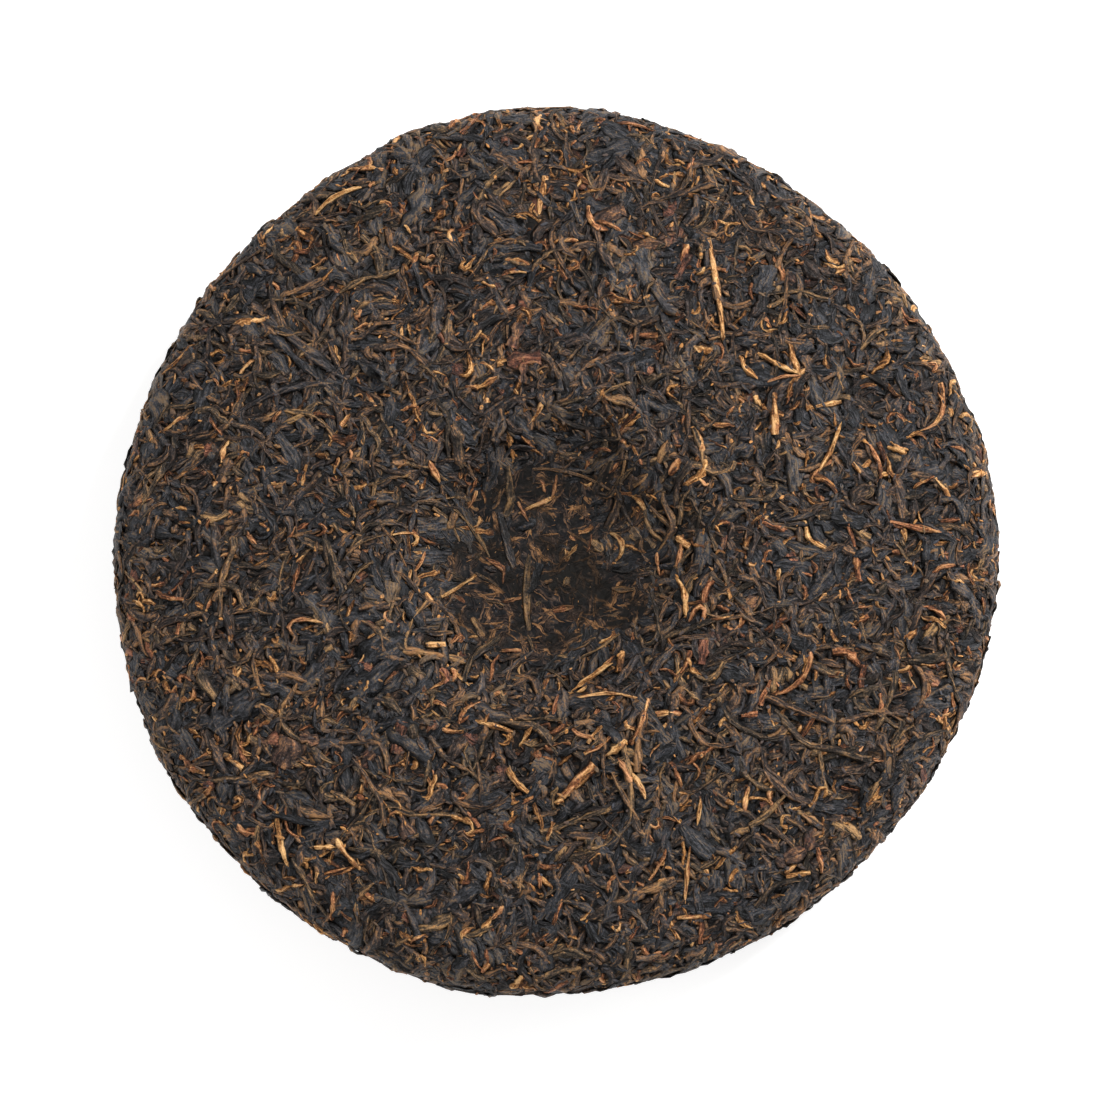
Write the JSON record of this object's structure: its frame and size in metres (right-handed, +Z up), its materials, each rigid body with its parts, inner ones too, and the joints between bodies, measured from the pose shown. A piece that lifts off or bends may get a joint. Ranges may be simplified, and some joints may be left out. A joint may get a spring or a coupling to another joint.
{
  "type": "pu erh tea cake",
  "caption": "round flat cake of pressed dark tea leaves with a soft rim and a knot dimple in its upper face",
  "frame": {"origin": "middle of the cake's box at the level of the surface that it rests on", "axes": "+Z up out of the face with the knot dimple, +X and +Y across the cake, with the picture's lower edge at -Y"},
  "size_m": [0.197, 0.2012, 0.0264],
  "materials": {
    "dark_leaf": "dry twisted black and dark brown tea leaves, pressed hard, dull with a faint dry sheen on their ridges"
  },
  "bodies": {
    "root": {"pressed_tea_cake": "dark_leaf"}
  },
  "joints": []
}
